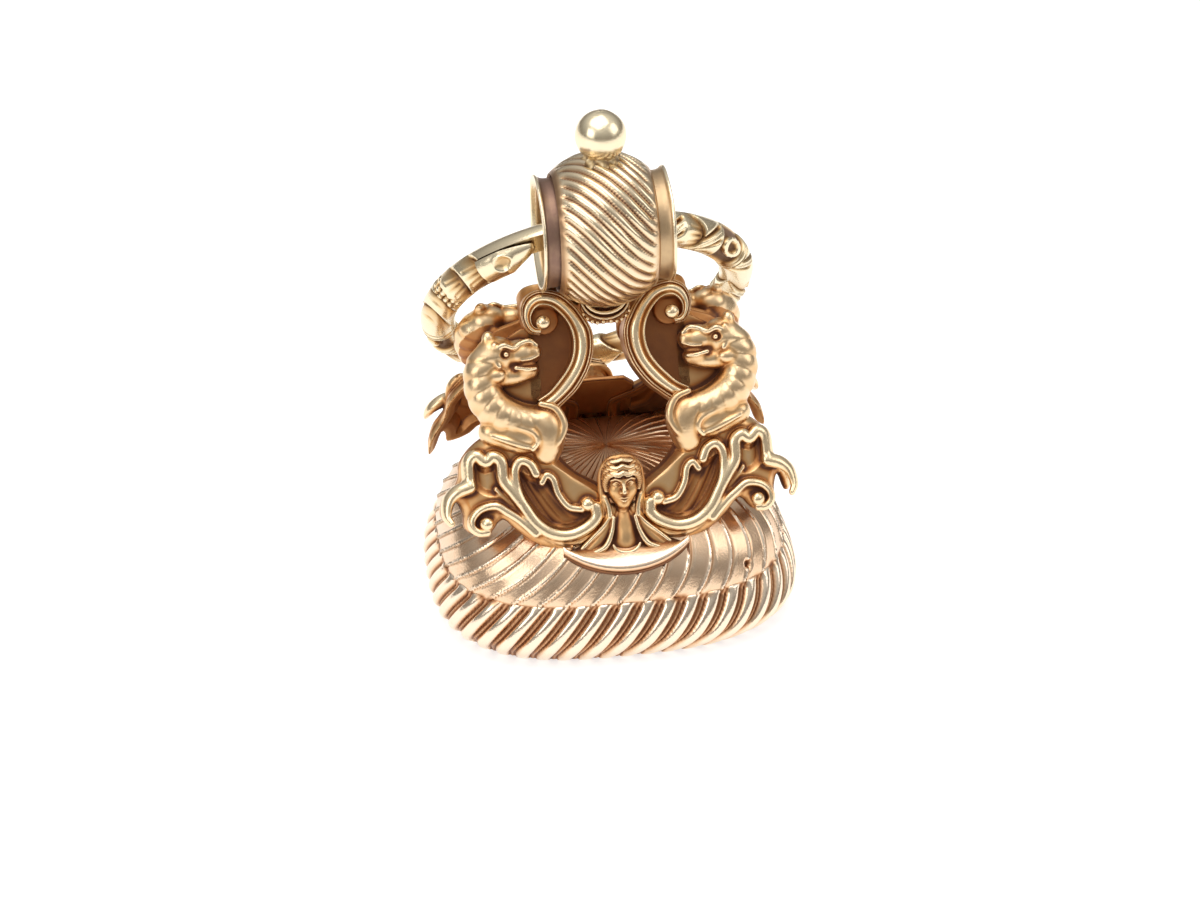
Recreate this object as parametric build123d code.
from build123d import *
import os
from math import atan2, cos, degrees, hypot, pi, radians, sin, sqrt

os.makedirs("parts", exist_ok=True)

# Pocket watch fob: a gold seal whose fluted base carries two ornamental frames, a fluted barrel
# across their tops and a heavy split ring through the barrel. Millimetres, origin at the middle
# of the seal face, +Z up, X along the barrel, the front of the fob towards -Y.

# Base: a cushion-shaped plan, |x / half|^power + |y / half|^power = 1
plan_power = 2.9
plan_points = 32
belly_half_x, belly_half_y = 15.0, 12.95
rim_inset_x, rim_inset_y = 1.8, 1.75
seam_inset_x, seam_inset_y = 1.12, 0.93
belly_height = 2.6
seam_height = 5.6
dome_rise = 7.23
base_sheet = 0.7
bezel_width = 0.9
stone_depth = 2.2
stone_bevel = 0.25
seat_thickness = 0.5
solder_gap = 0.05
reed_count = 50
reed_depth = 0.36
reed_slant_share = 0.0414
reed_start_share = 0.17

# Plinth under each bust
plinth_half_width = 4.9
plinth_reach = 11.65
plinth_end_y = 9.9
plinth_bottom = 7.9
plinth_end_rise = 0.95
plinth_tail = 2.5
plinth_thickness = 1.1
plinth_edge_round = 0.4

# Ornamental frame: a leaning plane, bent back past the beasts' shoulders
frame_half_width = 14.0
frame_foot_height = 9.0
frame_top_drop = 4.63
frame_foot_y = 9.9
frame_top_y = 0.35
wrap_start = 9.0
wrap_radius = 6.8
leaf_front, leaf_back = 0.25, 1.15
leaf_rim_front, leaf_rim_width, leaf_curl_width = 0.85, 0.75, 0.5
rim_end_share = 0.6
leaf_foot_back = 1.8
leaf_ball_radius = 0.58
curl_ball_radius = 0.6
scroll_front, scroll_back = 0.45, 1.75
scroll_half_width, scroll_half_height, scroll_width = 3.68, 4.17, 1.45
volute_radius, volute_width, volute_ball_radius = 1.2, 0.8, 0.62
cresting_front, cresting_back = 0.35, 0.75
cresting_lobe = 0.8

# Bust
head_half_width, head_half_depth, head_half_height = 1.5, 1.35, 2.2
head_lift = 5.05
head_y = 7.85
chest_half_width, chest_half_depth, chest_half_height = 1.15, 1.1, 1.9
robe_front, robe_back = 1.0, 0.9

# Barrel
axis_height = 31.9
barrel_half_length = 5.02
barrel_radius = 6.0
body_half_length = 3.75
shoulder_radius = 4.5
barrel_sheet = 0.5
mouth_rim_radius = 4.46
rim_thickness = 0.3
collar_radius = 4.15
collar_sheet = 0.35
cup_depth = 1.15
ring_clearance = 0.3

# Finial
ball_radius = 1.94
ball_lift = 1.66
peg_radius = 0.5

# Split ring
ring_radius = 12.1
ring_half_thickness = 1.39
ring_shift = 0.36
ring_sag = 1.1
ring_fall = 54.2
ring_droop = 50.8
ring_skew = 3.2
dimple_radius = 0.75
dimple_depth = 0.35
slit_width = 0.3
leaf_step = 0.26
tongue_step = 0.2
band_groove = 0.28
boss_bed = 0.34
boss_radius = 0.78
cluster_step = 0.14

overrun = 2.0

rim_half_x, rim_half_y = belly_half_x - rim_inset_x, belly_half_y - rim_inset_y
seam_half_x, seam_half_y = belly_half_x - seam_inset_x, belly_half_y - seam_inset_y
plinth_top = plinth_bottom + plinth_thickness
head_height = plinth_top + head_lift
frame_top_height = axis_height - frame_top_drop
ball_height = axis_height + barrel_radius + ball_lift
ring_offset = ring_radius - ring_sag


def plan_wire(half_x, half_y, height):
    """Cushion-shaped outline at one height, from its polar formula."""
    points = []
    for step in range(plan_points):
        turn = 2 * pi * step / plan_points
        across = abs(cos(turn) / half_x) ** plan_power + abs(sin(turn) / half_y) ** plan_power
        reach = across ** (-1 / plan_power)
        points.append((reach * cos(turn), reach * sin(turn), height))
    return Wire([Edge.make_spline(points, periodic=True)])


def cushion(levels, ruled=False):
    """Solid through cushion-shaped outlines, each given as half sizes and a height."""
    return Solid.make_loft([plan_wire(*level) for level in levels], ruled)


# Base

band_height_shares = [0.0, 0.2, 0.4643, 0.75, 1.0]
dome_height_shares = [0.0, 0.3, 0.55, 0.75, 0.89, 0.975]


def band_half(height):
    """Half sizes of the band at one height: widest at the belly, drawn in above and below it."""
    if height < belly_height:
        fall = ((belly_height - height) / belly_height) ** 2
        end_x, end_y = rim_half_x, rim_half_y
    else:
        fall = ((height - belly_height) / (seam_height - belly_height)) ** 2
        end_x, end_y = seam_half_x, seam_half_y
    return belly_half_x - (belly_half_x - end_x) * fall, belly_half_y - (belly_half_y - end_y) * fall


def band_levels(inset):
    levels = []
    for share in band_height_shares:
        half_x, half_y = band_half(share * seam_height)
        levels.append((half_x - inset, half_y - inset, share * seam_height))
    return levels


def reeded_wire(half_x, half_y, height):
    """Outline of the band cut into bulging reeds, turned further round the higher it lies."""
    belly = plan_wire(belly_half_x, belly_half_y, 0)
    lean = reed_slant_share * height / seam_height
    grooves, crests = [], []
    for reed in range(reed_count):
        for points, part_share, inset in ((grooves, -reed_start_share, reed_depth),
                                          (crests, 1 / 2 - reed_start_share, 0)):
            place = belly @ (((reed + part_share) / reed_count + lean) % 1)
            points.append((place.X / belly_half_x * (half_x - inset), place.Y / belly_half_y * (half_y - inset),
                           height))
    return Wire([Edge.make_three_point_arc(grooves[reed], crests[reed], grooves[(reed + 1) % reed_count])
                 for reed in range(reed_count)])


def dome_levels(inset):
    levels = []
    for share in dome_height_shares:
        spread = sqrt(1 - share ** 2)
        height = seam_height + (dome_rise - inset) * share
        levels.append(((seam_half_x - inset) * spread, (seam_half_y - inset) * spread, height))
    return levels


def make_base():
    """Reeded band, fluted dome, and the stone in its bezel under a seat plate."""
    dome_block = cushion(dome_levels(0))
    stone_x = rim_half_x - base_sheet - bezel_width
    stone_y = rim_half_y - base_sheet - bezel_width
    stone = cushion([(stone_x - stone_bevel, stone_y - stone_bevel, 0), (stone_x, stone_y, stone_bevel),
                     (stone_x, stone_y, stone_depth)], ruled=True)
    bezel_x, bezel_y = rim_half_x - base_sheet, rim_half_y - base_sheet
    bezel = cushion([(bezel_x, bezel_y, 0), (bezel_x, bezel_y, stone_depth)], ruled=True)
    bezel -= cushion([(stone_x, stone_y, 0), (stone_x, stone_y, stone_depth)], ruled=True)
    seat_x, seat_y = band_half(stone_depth)
    inset = base_sheet + solder_gap
    seat = cushion([(seat_x - inset, seat_y - inset, stone_depth),
                    (seat_x - inset, seat_y - inset, stone_depth + seat_thickness)], ruled=True)
    return {
        "seal_stone": stone,
        "stone_bezel": bezel,
        "stone_seat": seat,
        "reeded_band": Solid.make_loft([reeded_wire(*level) for level in band_levels(0)])
        - cushion(band_levels(base_sheet)),
        "fluted_dome": dome_block - cushion(dome_levels(base_sheet)),
    }, dome_block


# Frame

frame_height = frame_top_height - frame_foot_height
frame_slope = hypot(frame_height, frame_foot_y - frame_top_y)
frame_lean = atan2(frame_foot_y - frame_top_y, frame_height)
frame_plane = Plane(origin=(0, -frame_foot_y, frame_foot_height), x_dir=(1, 0, 0),
                    z_dir=(0, -cos(frame_lean), sin(frame_lean)))


def front_half(piece):
    """What is left of a piece in front of the line where the two frames are soldered together."""
    size = 2 * belly_half_x
    space = Pos(0, -size - solder_gap / 2, frame_top_height) * Box(2 * size, 2 * size, 2 * size)
    return piece & space


def on_frame(shares):
    """Place on the right half of the frame: share of its half width, share of its height."""
    return shares[0] * frame_half_width, shares[1] * frame_slope


def frame_slab(front, back):
    """The space between two surfaces that follow the frame, flat in the middle, bent back outside."""
    outer, inner = wrap_radius + front, wrap_radius - back
    side = frame_half_width + overrun
    drop = side - wrap_start
    section = Sketch()
    for sense in (-1, 1):
        with BuildSketch(Plane.XZ) as half:
            with BuildLine():
                centre = (sense * wrap_start, -wrap_radius)
                Line((0, -back), (0, front))
                Line((0, front), (sense * wrap_start, front))
                start, sweep = (90, -90) if sense > 0 else (90, 90)
                CenterArc(centre, outer, start, sweep)
                Line((sense * (wrap_start + outer), -wrap_radius),
                     (sense * (wrap_start + inner), -wrap_radius))
                CenterArc(centre, inner, start, sweep)
                Line((sense * wrap_start, -back), (0, -back))
            make_face()
        section += half.sketch
    slab = extrude(section, amount=frame_slope + drop, both=True)
    return frame_plane * slab


def frame_prism(sketch, front, back):
    """A flat shape on the frame's plane, thickened to both sides of it."""
    return extrude(frame_plane.offset(-back) * sketch, amount=front + back, dir=frame_plane.z_dir)


def closed_outline(shares):
    """Smooth closed shape through points given as shares of the frame."""
    points = [on_frame(share) for share in shares]
    return make_face(Edge.make_spline([Vector(*point) for point in points], periodic=True))


def stroke(points, width, end_share=1.0):
    """A band along a smooth line through points, narrowed towards both ends."""
    path = Spline(*points)
    steps = 3 * (len(points) - 1)
    left, right = [], []
    for step in range(steps + 1):
        place = step / steps
        half = width / 2 * (end_share + (1 - end_share) * sin(pi * place))
        side = Vector(0, 0, 1).cross(path % place) * half
        left.append(path @ place + side)
        right.append(path @ place - side)
    edges = [Spline(*left), Line(left[-1], right[-1]), Spline(*reversed(right)), Line(right[0], left[0])]
    return make_face(edges)


def frame_ball(shares, radius, lift):
    """A ball on the frame's surface, its centre lifted off it."""
    x, y = on_frame(shares)
    past = max(0, x - wrap_start)
    fall = wrap_radius - sqrt(wrap_radius ** 2 - past ** 2)
    return frame_plane * (Pos(x, y, lift - fall) * Sphere(radius))


leaf_outline_shares = [
    (0.085, 0.16), (0.1, 0.1), (0.165, 0.045), (0.255, 0.015), (0.37, 0.02), (0.485, 0.055),
    (0.585, 0.11), (0.665, 0.16), (0.73, 0.115), (0.8, 0.105), (0.87, 0.135), (0.88, 0.19),
    (0.905, 0.235), (0.95, 0.165), (0.995, 0.185), (0.98, 0.245), (0.92, 0.285), (0.885, 0.33),
    (0.87, 0.385), (0.805, 0.44), (0.715, 0.48), (0.6, 0.48), (0.47, 0.445), (0.35, 0.405),
    (0.28, 0.31), (0.23, 0.24), (0.155, 0.215)]
leaf_rim_shares = [
    (0.15, 0.18), (0.155, 0.14), (0.205, 0.105), (0.3, 0.085), (0.4, 0.095), (0.485, 0.14), (0.55, 0.21),
    (0.595, 0.255), (0.64, 0.31), (0.65, 0.375), (0.695, 0.4), (0.735, 0.385), (0.785, 0.41),
    (0.83, 0.385), (0.835, 0.31)]
leaf_hook_shares = [(0.56, 0.22), (0.58, 0.29), (0.58, 0.345), (0.545, 0.375), (0.495, 0.36), (0.465, 0.32)]
leaf_curl_shares = [(0.23, 0.175), (0.3, 0.19), (0.35, 0.24), (0.37, 0.295), (0.405, 0.315), (0.435, 0.29)]
lower_curl_shares = [(0.635, 0.19), (0.7, 0.215), (0.78, 0.21), (0.83, 0.18)]
claw_shares = [(0.835, 0.295), (0.905, 0.28), (0.955, 0.245), (0.965, 0.2)]
leaf_foot_shares = [(0.21, 0.06), (0.29, 0.035), (0.37, 0.035), (0.47, 0.07), (0.52, 0.09), (0.48, 0.12),
                    (0.4, 0.085), (0.27, 0.085)]
leaf_ball_share = (0.195, 0.19)
curl_ball_share = (0.755, 0.155)


def make_leaf(dome_block):
    """Acanthus leaf: a bent plate with raised rims, curled tips and balls, and a foot on the dome."""
    leaf = frame_prism(closed_outline(leaf_outline_shares), wrap_radius, 2 * wrap_radius)
    leaf &= frame_slab(leaf_front, leaf_back)
    raised = frame_slab(leaf_rim_front, leaf_back / 2)
    for line, width in ((leaf_rim_shares, leaf_rim_width), (leaf_hook_shares, leaf_rim_width),
                        (leaf_curl_shares, leaf_curl_width), (lower_curl_shares, leaf_rim_width),
                        (claw_shares, leaf_rim_width)):
        rim = stroke([on_frame(share) for share in line], width, rim_end_share)
        leaf += frame_prism(rim, wrap_radius, 2 * wrap_radius) & raised
    leaf += frame_prism(closed_outline(leaf_foot_shares), 0, leaf_foot_back)
    leaf += frame_ball(leaf_ball_share, leaf_ball_radius, leaf_rim_front / 2)
    leaf += frame_ball(curl_ball_share, curl_ball_radius, leaf_rim_front / 2)
    return leaf - dome_block


# Beast: places are shares of the frame. The third number of each neck share is a share of the
# neck's radius. The half sizes are shares of the frame's half width, of its height, and of the neck.
neck_radius = 1.35
beast_lift = 0.2
seam_angle = 135.0
neck_shares = [(0.645, 0.79, 0.9), (0.685, 0.72, 0.97), (0.68, 0.63, 1.0), (0.63, 0.56, 0.95),
               (0.52, 0.52, 0.85), (0.4, 0.505, 0.88)]
chest_share = (0.385, 0.5)
chest_radius = 1.3
shin_share = (0.36, 0.4)
shin_radius = 0.8
skull_share, skull_half_share = (0.62, 0.78), (0.096, 0.056, 0.96)
snout_share, snout_half_share = (0.505, 0.765), (0.093, 0.029, 0.6)
jaw_share, jaw_half_share = (0.525, 0.7), (0.096, 0.018, 0.44)
ear_share, ear_half_share = (0.685, 0.83), (0.036, 0.022, 0.37)


def frame_ellipsoid(share, half_share):
    x, y = on_frame(share)
    halves = (*on_frame(half_share), half_share[2] * neck_radius)
    return frame_plane * (Pos(x, y, beast_lift) * scale(Rot(0, 0, seam_angle) * Sphere(1), by=halves))


def make_beast(leaf):
    """Open-jawed beast: an S-bent neck swelling into a rounded chest that stands on the leaf."""
    rings = []
    centres = [on_frame(share[:2]) for share in neck_shares]
    for index, share in enumerate(neck_shares):
        before = centres[max(index - 1, 0)]
        after = centres[min(index + 1, len(centres) - 1)]
        along = (after[0] - before[0], after[1] - before[1], 0)
        centre = (*centres[index], beast_lift)
        station = Plane(origin=centre, x_dir=(0, 0, 1), z_dir=along)
        rings.append(station * Circle(share[2] * neck_radius))
    beast = frame_plane * loft(rings)
    chest_x, chest_y = on_frame(chest_share)
    beast += frame_plane * (Pos(chest_x, chest_y, beast_lift) * Rot(0, 0, seam_angle) * Sphere(chest_radius))
    shin_x, shin_y = on_frame(shin_share)
    drop = (shin_x - chest_x, shin_y - chest_y, 0)
    shin = Plane(origin=(chest_x, chest_y, beast_lift), x_dir=(0, 0, 1), z_dir=drop)
    shin_length = hypot(*drop)
    beast += frame_plane * (shin * (Pos(0, 0, shin_length / 2) * Cone(chest_radius, shin_radius, shin_length)))
    for share, half_share in ((skull_share, skull_half_share), (snout_share, snout_half_share),
                              (jaw_share, jaw_half_share), (ear_share, ear_half_share)):
        beast += frame_ellipsoid(share, half_share)
    return beast - leaf


# C-scroll: an arc that bulges towards the middle and rolls up into a volute under the barrel
scroll_centre_share = (0.407, 0.783)
scroll_from, scroll_sweep, scroll_steps = 100, 161, 7
volute_shares = [(0.3, 0.975), (0.365, 0.975), (0.43, 0.955), (0.455, 0.91), (0.43, 0.87), (0.385, 0.86)]
volute_ball_share = (0.36, 0.88)


def make_scroll(barrel_block, beast, leaf):
    centre_x, centre_y = on_frame(scroll_centre_share)
    turns = [radians(scroll_from + scroll_sweep * step / scroll_steps) for step in range(scroll_steps + 1)]
    arc = [(centre_x + scroll_half_width * cos(turn), centre_y + scroll_half_height * sin(turn))
           for turn in turns]
    volute = [on_frame(share) for share in volute_shares]
    band = stroke(arc, scroll_width) + stroke(volute, volute_width, rim_end_share)
    ball_x, ball_y = on_frame(volute_ball_share)
    eye = Pos(ball_x, ball_y) * Circle(volute_radius)
    scroll = frame_prism(band, scroll_front, scroll_back) + frame_prism(eye, 0, scroll_back)
    scroll += frame_ball(volute_ball_share, volute_ball_radius, volute_ball_radius / 2)
    return front_half(scroll - barrel_block - beast - leaf)


# Cresting: a fan between the scrolls, under the barrel
cresting_shares = [(0.0, 0.99), (0.145, 0.985), (0.135, 0.9), (0.085, 0.865), (0.0, 0.855)]


def make_cresting(barrel_block, scroll):
    """Symmetrical fan, cut back to the barrel above it and to the scrolls on both sides."""
    right = [on_frame(share) for share in cresting_shares]
    left = [(-x, y) for x, y in reversed(right[1:-1])]
    fan = make_face(Polyline(*right, *left, close=True))
    cresting = frame_prism(fan, cresting_front, cresting_back)
    return front_half(cresting - barrel_block - scroll - mirror(scroll, Plane.YZ))


def make_plinth(dome_block, leaf):
    """Boat-shaped ledge that lies up the slope of the dome, its front edge rounded."""
    run = plinth_reach - plinth_end_y
    end, slope = hypot(run, plinth_end_rise), atan2(plinth_end_rise, run)
    with BuildSketch(Plane(origin=(0, -plinth_reach, plinth_bottom), x_dir=(1, 0, 0),
                           z_dir=(0, -sin(slope), cos(slope)))) as plan:
        with BuildLine():
            ThreePointArc((-plinth_half_width, end), (0, 0), (plinth_half_width, end))
            Line((plinth_half_width, end), (0, end + plinth_tail))
            Line((0, end + plinth_tail), (-plinth_half_width, end))
        make_face()
    plinth = extrude(plan.sketch, amount=plinth_thickness)
    front = plinth.edges().filter_by(GeomType.CIRCLE)
    return fillet(front, plinth_edge_round) - dome_block - leaf - mirror(leaf, Plane.YZ)


# Bust: a robed figure on the plinth, plain in the solid
robe_shares = [(0.0, -0.03), (0.255, -0.02), (0.235, 0.02), (0.155, 0.055), (0.105, 0.1), (0.09, 0.16),
               (0.085, 0.235), (0.045, 0.29), (0.0, 0.3)]
chest_height_share = 0.085


def make_bust(plinth, leaf, dome_block):
    right = [on_frame(share) for share in robe_shares]
    left = [(-x, y) for x, y in reversed(right[1:-1])]
    bust = frame_prism(make_face(Polyline(*right, *left, close=True)), robe_front, robe_back)
    chest_y = chest_height_share * frame_slope
    bust += frame_plane * (Pos(0, chest_y, 0)
                           * scale(Sphere(1), by=(chest_half_width, chest_half_height, chest_half_depth)))
    head = Rot(-degrees(frame_lean) / 2, 0, 0) * scale(Sphere(1), by=(head_half_width, head_half_depth,
                                                                       head_half_height))
    bust += Pos(0, -head_y, head_height) * head
    return bust - plinth - leaf - mirror(leaf, Plane.YZ) - dome_block


def revolve_about_barrel(points):
    """Turn a closed outline of (along the barrel, from its axis) about the barrel's axis."""
    outline = make_face(Polyline(*[(x, 0, axis_height + r) for x, r in points], close=True))
    return revolve(outline, Axis((0, 0, axis_height), (1, 0, 0)))


bore_radius = ring_radius + ring_half_thickness - ring_offset + ring_clearance


def drum(outer, half_length, end_radius):
    """Barrel-shaped solid: an arc turned about the axis."""
    with BuildSketch(Plane.XZ) as half:
        with BuildLine():
            ThreePointArc((-half_length, end_radius), (0, outer), (half_length, end_radius))
            Line((half_length, end_radius), (half_length, 0))
            Line((half_length, 0), (-half_length, 0))
            Line((-half_length, 0), (-half_length, end_radius))
        make_face()
    return Pos(0, 0, axis_height) * revolve(half.sketch, Axis.X)


def make_barrel():
    """Drum shell, its two flared mouths with their inner sleeves, and the finial on top."""
    solid_drum = drum(barrel_radius, body_half_length, shoulder_radius)
    hollow = drum(barrel_radius - barrel_sheet, body_half_length - barrel_sheet,
                  shoulder_radius - barrel_sheet / 2)
    axis_x = Plane(origin=(0, 0, axis_height), z_dir=(1, 0, 0))
    collar_hole = axis_x * Cylinder(collar_radius, 2 * barrel_half_length)
    peg_top = ball_height
    peg_bottom = axis_height + barrel_radius - barrel_sheet
    peg = Pos(0, 0, (peg_top + peg_bottom) / 2) * Cylinder(peg_radius, peg_top - peg_bottom)
    ball = Pos(0, 0, ball_height) * Sphere(ball_radius) - solid_drum - peg
    x_mouth, x_rim = barrel_half_length, barrel_half_length - rim_thickness
    x_neck = x_rim - (mouth_rim_radius - collar_radius)
    x_floor = barrel_half_length - cup_depth
    mouth = collar_radius - collar_sheet
    sleeve = bore_radius + collar_sheet
    profile = [(0, bore_radius), (0, sleeve), (x_floor - collar_sheet, sleeve),
               (x_floor - collar_sheet, collar_radius), (x_neck, collar_radius), (x_rim, mouth_rim_radius),
               (x_mouth, mouth_rim_radius), (x_mouth, mouth_rim_radius - rim_thickness),
               (x_neck, mouth), (x_floor, mouth), (x_floor, bore_radius)]
    right = revolve_about_barrel(profile)
    pieces = {
        "barrel": solid_drum - hollow - collar_hole - peg,
        "barrel_right_flange": right,
        "barrel_left_flange": mirror(right, Plane.YZ),
        "finial_ball": ball,
        "finial_peg": peg,
    }
    block = solid_drum + revolve_about_barrel([(-x_mouth, 0), (-x_mouth, mouth_rim_radius),
                                               (-x_rim, mouth_rim_radius), (-x_neck, collar_radius),
                                               (x_neck, collar_radius), (x_rim, mouth_rim_radius),
                                               (x_mouth, mouth_rim_radius), (x_mouth, 0)])
    return pieces, block


# Split ring: two half-round coils face to face; the front one ends in a dimpled terminal
slit_angle, terminal_angle, gap_angle = 226.0, 246.0, 254.0
dimple_angle, boss_angle = 235.0, 40.0


def coil(side, gap, start, sweep):
    """Part of a half-round coil, its flat face a little off the ring's middle plane."""
    flat = side * gap
    half = sqrt(ring_half_thickness ** 2 - gap ** 2)
    inner, outer = (ring_radius - half, flat), (ring_radius + half, flat)
    with BuildSketch(Plane.XZ) as section:
        with BuildLine():
            Line(inner, outer)
            ThreePointArc(outer, (ring_radius, side * ring_half_thickness), inner)
        make_face()
    return Rot(0, 0, start) * revolve(section.sketch, Axis.Z, revolution_arc=sweep)


# Chased ornament of the round part: each row is the angle where a motif ends, its kind, and the
# motifs follow each other from the end of the gap
chased_angles = [
    (-94, "leaf"), (-82, "leaf"), (-70, "leaf"), (-60, "cluster"), (-52, "leaf"), (-42, "cluster"),
    (-27, "boss"), (-23, "band"), (-14, "cluster"), (2, "tongue"), (14, "cluster"), (26, "leaf"),
    (30, "band"), (42, "boss"), (46, "band"), (60, "tongue"), (66, "cluster"), (78, "leaf"), (92, "leaf"),
    (96, "band"), (108, "boss"), (112, "band"), (126, "tongue"), (132, "cluster"), (143, "leaf"),
    (155, "leaf"), (159, "band"), (171, "boss"), (175, "band"), (192, "tongue"), (201, "tongue"),
    (206.5, "cluster"), (216, "leaf"), (226, "leaf")]
band_shares = [(0, 0.1, 0), (0.1, 0.35, 1), (0.35, 0.7, 0), (0.7, 0.95, 1), (0.95, 1, 0)]


def wire_piece(start, end, start_radius, end_radius):
    """A short length of round wire between two angles of the ring."""
    discs = []
    for angle, radius in ((start, start_radius), (end, end_radius)):
        turn = radians(angle)
        centre = (ring_radius * cos(turn), ring_radius * sin(turn), 0)
        disc = Plane(origin=centre, x_dir=(0, 0, 1), z_dir=(-sin(turn), cos(turn), 0)) * Circle(radius)
        discs.append(disc)
    return loft(discs, ruled=True)


def chased_wire():
    """Round wire cut into stepped leaves and tongues, grooved bands, and necks that carry bosses."""
    full = ring_half_thickness
    pieces = []
    start = gap_angle - 360
    for end, kind in chased_angles:
        if kind == "band":
            for first, last, grooved in band_shares:
                radius = full - grooved * band_groove
                pieces.append(wire_piece(start + (end - start) * first, start + (end - start) * last, radius, radius))
        elif kind in ("leaf", "tongue"):
            step = leaf_step if kind == "leaf" else tongue_step
            pieces.append(wire_piece(start, end, full, full - step))
        else:
            middle, inset = (start + end) / 2, boss_bed if kind == "boss" else cluster_step
            pieces.append(wire_piece(start, middle, full - inset, full - inset))
            pieces.append(wire_piece(middle, end, full - inset, full - inset))
            if kind == "boss":
                turn, lean = radians(middle), radians(boss_angle)
                for side in (-1, 1):
                    out = ring_radius + side * (full - boss_radius) * cos(lean)
                    lift = -side * (full - boss_radius) * sin(lean)
                    pieces.append(Pos(out * cos(turn), out * sin(turn), lift) * Sphere(boss_radius))
        start = end
    wire = pieces[0]
    return wire.fuse(*pieces[1:])


def make_ring():
    """Both coils, with the slit behind the terminal, its dimple, and the gap before the coil starts."""
    fall, droop, skew = radians(ring_fall), radians(ring_droop), radians(ring_skew)
    ring_centre = (-ring_shift, ring_offset * cos(fall), axis_height - ring_offset * sin(fall))
    across = (cos(skew), sin(skew) * sin(droop), sin(skew) * cos(droop))
    face_up = (-sin(skew), cos(skew) * sin(droop), cos(skew) * cos(droop))
    ring_plane = Plane(origin=ring_centre, x_dir=across, z_dir=face_up)
    ring = chased_wire() + coil(1, 0, slit_angle, gap_angle - slit_angle)
    ring += coil(-1, slit_width, slit_angle, terminal_angle - slit_angle)
    turn = radians(dimple_angle)
    reach = (ring_half_thickness + dimple_radius - dimple_depth) / sqrt(2)
    out = ring_radius + reach
    dimple = Pos(out * cos(turn), out * sin(turn), -reach) * Sphere(dimple_radius)
    return ring_plane * (ring - dimple)


def main():
    nodes, dome_block = make_base()
    barrel, barrel_block = make_barrel()
    nodes.update(barrel)
    nodes["split_ring"] = make_ring()
    leaf = make_leaf(dome_block)
    beast = make_beast(leaf)
    scroll = make_scroll(barrel_block, beast, leaf)
    plinth = make_plinth(dome_block, leaf)
    middle = {"plinth": plinth, "bust": make_bust(plinth, leaf, dome_block),
              "cresting": make_cresting(barrel_block, scroll)}
    side = {"leaf": leaf, "beast": beast, "scroll": scroll}
    for name, piece in middle.items():
        nodes[f"front_{name}"] = piece
        nodes[f"rear_{name}"] = mirror(piece, Plane.XZ)
    for name, piece in side.items():
        nodes[f"front_right_{name}"] = piece
        nodes[f"front_left_{name}"] = mirror(piece, Plane.YZ)
        nodes[f"rear_right_{name}"] = mirror(piece, Plane.XZ)
        nodes[f"rear_left_{name}"] = mirror(mirror(piece, Plane.YZ), Plane.XZ)
    for name, piece in nodes.items():
        export_step(piece, f"parts/{name}.step")


main()
